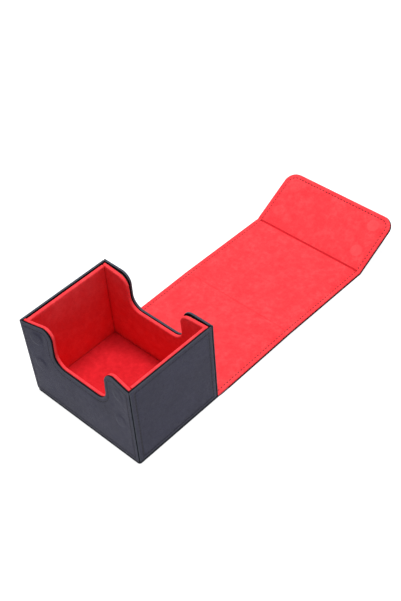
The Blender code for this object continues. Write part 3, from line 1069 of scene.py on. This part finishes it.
def make_layer(kind, cad_kind, half, short, shape, folds, relief=flat, extra=(), nap_and_painted_light=flat):
    """The lining or the leather of the cover: two panels, the strips at its folds, and the flap.

    folds gives what each fold's strip rests on, which is not used, and a height above the hinge plane for it.
    """
    xs = across(half)
    for i, name in enumerate(PANELS):
        rows = rows_between(FOLDS[i] + STRIPS[i], FOLDS[i + 1] - STRIPS[i + 1], 3.0)
        piece = slab(f"{name}_{kind}", xs, rows, *shape, nap_and_painted_light)
        declare_cut()
        settle(piece, name, f"{name}_{cad_kind}")
    for (name, fold, bodies), (below, height) in zip(FOLD_PIECES[-len(folds) :], folds):
        rows = fold_rows(fold)
        piece = slab(f"{name}_{kind}", xs, rows, *shape, nap_and_painted_light)
        declare_cut()
        blend_at(piece, fold, height)
        settle(piece)
    piece = make_flap(f"front_flap_{kind}", half, short, *shape, relief, extra, nap_and_painted_light)
    settle(piece, "front_flap", f"front_flap_{cad_kind}")


def make_cover():
    extra = magnet_grid((-LINING_HALF, FOLDS[2]), (LINING_HALF, COVER_END), FLAP_MAGNETS)
    lining = (lining_height, lining_under, SUEDE, lining_place)
    folds = ((["base_leather"], 1.2), (["ridge_fold_hide"], 2.0), (["flap_fold_hide"], 2.0))
    make_layer(
        "suede", "lining", LINING_HALF, LINING_SHORT, lining, folds, flap_relief, extra, lining_nap_and_painted_light
    )
    leather = (leather_top, leather_under, LEATHER, cover_place)
    folds = ((["back_cover_board", "top_cover_board"], 0.0), (["top_cover_board", "front_flap_board"], 0.0))
    make_layer("hide", "leather", COVER_HALF, 0.0, leather, folds)


# ---- the base

# (inset, height) of the underside from its rim inwards, with the stitches' groove, and of the upturned rim
BASE_UNDER = [(0.0, 0.8), (0.02, 0.55), (0.12, 0.3), (0.32, 0.12), (0.6, 0.02), (1.0, 0.0), (2.2, 0.0)]
BASE_UNDER += [(3.0, 0.03), (3.4, 0.10), (3.8, 0.16), (4.2, 0.10), (4.6, 0.03), (5.4, 0.0), (7.0, 0.0)]
BASE_RIM = [(0.0, 0.8), (0.0, 1.55), (0.06, 1.82), (0.22, 2.02), (0.5, 2.1), (0.8, 2.1), (0.8, 0.8)]
BASE_INNER, BASE_SKIN = BASE_UNDER[-1][0], BASE_UNDER[0][1]
BASE_STITCH_IN = 3.8
HINGE_END = PIVOTS[0].x + STRIPS[0]


def base_place(u, v, h):
    return cover_place(u, v - PIVOTS[0].x, h + LEATHER_UNDER)


def half_base_line(inset, radius):
    """Half of the base's outline at x > 0: from the hinge's end to the front's straight part."""
    side, front, back, hinge = TRAY_HALF - inset, -DEPTH_HALF, DEPTH_HALF, PIVOTS[0].x
    kept = max(radius - inset, 0.4)
    move = radius - inset - kept
    cy = front + radius - move
    tail = [HINGE_END - d for d in (0.0, 1.5, 3.0, 4.4)] + [hinge + d for d in (2.0, 1.0, 0.0, -1.0, -2.0)]
    points = []
    for y in tail + [back]:
        wider = (COVER_HALF - TRAY_HALF) * smooth(y, back, hinge + 1.5 - back)
        points.append((side + wider, y))
    points += [(side, y) for y in evenly(back, cy, 26)[1:-1]]
    return points + arc(TRAY_HALF - radius + move, cy, kept, 0.0, -pi / 2, 10)


def base_line(inset):
    """An open outline: from the hinge's end, round the front, and back."""
    right = half_base_line(inset, BASE_RADIUS)
    left = [(-x, y) for x, y in reversed(half_base_line(inset, LEFT_BASE_RADIUS))]
    middle = [(x, right[-1][1]) for x in evenly(right[-1][0], left[0][0], 34)[1:-1]]
    return right + middle + left


def make_base():
    """The base's leather and its hinge, one sheet, with an upturned rim round the board."""
    front, half = -DEPTH_HALF, TRAY_HALF
    shell = Shell(base_place)
    # the base's rim is half painted black: edge paint, and painted shade on its lower rounding
    rows = [shell.ring(base_line(i), h, i if i > 0.1 else BASE_PAINT_AND_SHADE) for i, h in BASE_UNDER]
    loop = base_line(BASE_INNER)
    upper = shell.ring(loop, BASE_SKIN, BASE_INNER)
    shell.bands(rows, closed=False)
    shell.band(rows[0], upper, closed=False)
    xs = evenly(loop[-1][0], loop[0][0], 30)[1:-1]
    tail = [(x, HINGE_END) for x in xs]
    grid = grid_points((-half, front), (half, HINGE_END), 4.0)
    extra = [(x, y) for x, y in grid if abs(x) < half - 8.0 and front + 8.0 < y < HINGE_END - 0.6]
    ends = []
    for ids, height in ((rows[-1], 0.0), (upper, BASE_SKIN)):
        made = [shell.point(x, HINGE_END, height) for x in xs]
        shell.fill(ids + made, loop + tail, extra, height)
        ends.append(made)
    low_tail = [row[-1] for row in rows] + ends[0] + [row[0] for row in reversed(rows)]
    high_tail = [rows[0][-1], upper[-1]] + ends[1] + [upper[0], rows[0][0]]
    shell.faces.append(tuple(dict.fromkeys(high_tail + list(reversed(low_tail)))))
    rim_ring = rectangle(half, front, -front, BASE_RADIUS, 0.5, LEFT_BASE_RADIUS)
    loops = [shell.ring(rim_ring(inset), height, BASE_PAINT_AND_SHADE) for inset, height in BASE_RIM]
    shell.bands(loops + loops[:1])
    piece = shell.make("base_leather", LEATHER)
    declare_cut()
    blend_at(piece, 0, 0.0)
    settle(piece, None, "base_cover")


def make_base_stitches():
    shell = Shell(lambda u, v, h: (u, v, -h))
    ring = rectangle(TRAY_HALF, -DEPTH_HALF, DEPTH_HALF, BASE_RADIUS, BASE_RADIUS)
    stitch_row(shell, ring(BASE_STITCH_IN) + ring(BASE_STITCH_IN)[:1], -0.17, wide=0.2)
    settle(shell.make("base_stitches", THREAD, 60), "tray")


# ---- stitches on the cover


def cover_path(half, inset):
    """The line of stitches from the wall along the right side, round the flap, and back along the left."""
    cx, cy = half - FLAP_RADIUS, COVER_END - FLAP_RADIUS
    points = [(half - inset, s) for s in [-0.6] + rows_between(0.0, cy, 2.0)]
    points += arc(cx, cy, FLAP_RADIUS - inset, 0.0, pi / 2, 12)[1:]
    return points + [(-x, y) for x, y in reversed(points[:-1])]


def zone_of(s):
    """The name of the piece that a stitch at s belongs to."""
    for name, fold, _ in FOLD_PIECES:
        if abs(s - FOLDS[fold]) < STRIPS[fold]:
            return name
    return "back_cover" if s < FOLDS[1] else "top_cover" if s < FOLDS[2] else "front_flap"


def under_place(u, s, h):
    """h is below the hinge plane."""
    return cover_place(u, s, -h)


def make_cover_stitches():
    """Wine thread in the lining and charcoal thread on the outer side, along the same holes."""
    path = cover_path(COVER_HALF, COVER_STITCH_IN)
    sides = (
        ("stitches", cover_place, SEAM_RISE - 0.10, 2.0, LINING_THREAD),
        ("outer_stitches", under_place, 0.14, STITCH_LONG, THREAD),
    )
    owners = [(name, None, None) for name in (*PANELS, "front_flap")]
    for name, fold, bodies in owners + list(FOLD_PIECES):
        for suffix, place, height, long, material in sides:
            shell = Shell(place)
            stitch_row(shell, path, height, long, 0.28, keep=lambda u, s: zone_of(s) == name)
            sewn = shell.make(f"{name}_{suffix}", material, 60)
            settle(sewn, name if bodies is None else None)
            if bodies:
                blend_at(sewn, fold, 1.0)


# ---- the inner CAD nodes that stay


def dress_cad_nodes():
    for name, node in frame["nodes"].items():
        if not node.hide_render:
            node.data.materials.clear()
            node.data.materials.append(MAGNET if "magnet" in name else BOARD)


# ---- floor, light and camera, in metres

FLOOR_SIZE, FLOOR_DROP = 40.0, 0.0002
FLOOR_GREY, FLOOR_GLOW = 0.30, 0.95
SKY_STRENGTH = 0.26
KEY_PLACE, KEY_TARGET = Vector((-0.12, 0.19, 1.17)), Vector((0.0, 0.08, 0.0))
KEY_SIZE, KEY_POWER = 0.46, 14.2
AZIMUTH, ELEVATION, ROLL = radians(46.22), radians(44.0), radians(-4.67)
AIM, DISTANCE = Vector((-0.0249, 0.1048, -0.0003)), 0.849
LENS, SENSOR = 64.6, 36.0  # in the camera's own millimetres
WHITE = (1.0, 1.0, 1.0)


def make_stage():
    mesh = bpy.data.meshes.new("studio_floor")
    corners = [(x * FLOOR_SIZE, y * FLOOR_SIZE, -FLOOR_DROP) for x, y in ((-1, -1), (1, -1), (1, 1), (-1, 1))]
    mesh.from_pydata(corners, [], [(0, 1, 2, 3)])
    values = {"Base Color": (FLOOR_GREY, FLOOR_GREY, FLOOR_GREY), "Roughness": 0.9}
    values |= {"Specular IOR Level": 0.1, "Emission Color": WHITE, "Emission Strength": FLOOR_GLOW}
    mesh.materials.append(Look("pale_floor").surface(values))
    add_object("studio_floor", mesh)


def make_light():
    world = bpy.data.worlds.new("studio")
    bpy.context.scene.world = world
    world.use_nodes = True
    background = world.node_tree.nodes["Background"]
    background.inputs["Color"].default_value = (*WHITE, 1.0)
    background.inputs["Strength"].default_value = SKY_STRENGTH
    data = bpy.data.lights.new("key_light", "AREA")
    data.shape = "DISK"
    data.size, data.energy = KEY_SIZE, KEY_POWER
    lamp = add_object("key_light", data)
    lamp.location = KEY_PLACE
    lamp.rotation_mode = "QUATERNION"
    lamp.rotation_quaternion = (KEY_TARGET - KEY_PLACE).to_track_quat("-Z", "Y")
    bpy.context.scene.view_settings.view_transform = "Standard"


def make_camera():
    back = Vector((sin(AZIMUTH) * cos(ELEVATION), -cos(AZIMUTH) * cos(ELEVATION), sin(ELEVATION)))
    right = Vector((cos(AZIMUTH), sin(AZIMUTH), 0.0))
    up = back.cross(right)
    right, up = right * cos(ROLL) + up * sin(ROLL), up * cos(ROLL) - right * sin(ROLL)
    data = bpy.data.cameras.new("camera")
    data.sensor_width, data.lens = SENSOR, LENS
    data.clip_start, data.clip_end = 0.01, 50.0
    camera = add_object("camera", data)
    turn = Matrix((right, up, back)).transposed().to_4x4()
    camera.matrix_world = Matrix.Translation(AIM + back * DISTANCE) @ turn
    bpy.context.scene.camera = camera


make_tray_walls()
make_tray_floor()
make_base()
make_base_stitches()
make_cover()
make_cover_stitches()
dress_cad_nodes()
make_stage()
make_light()
make_camera()
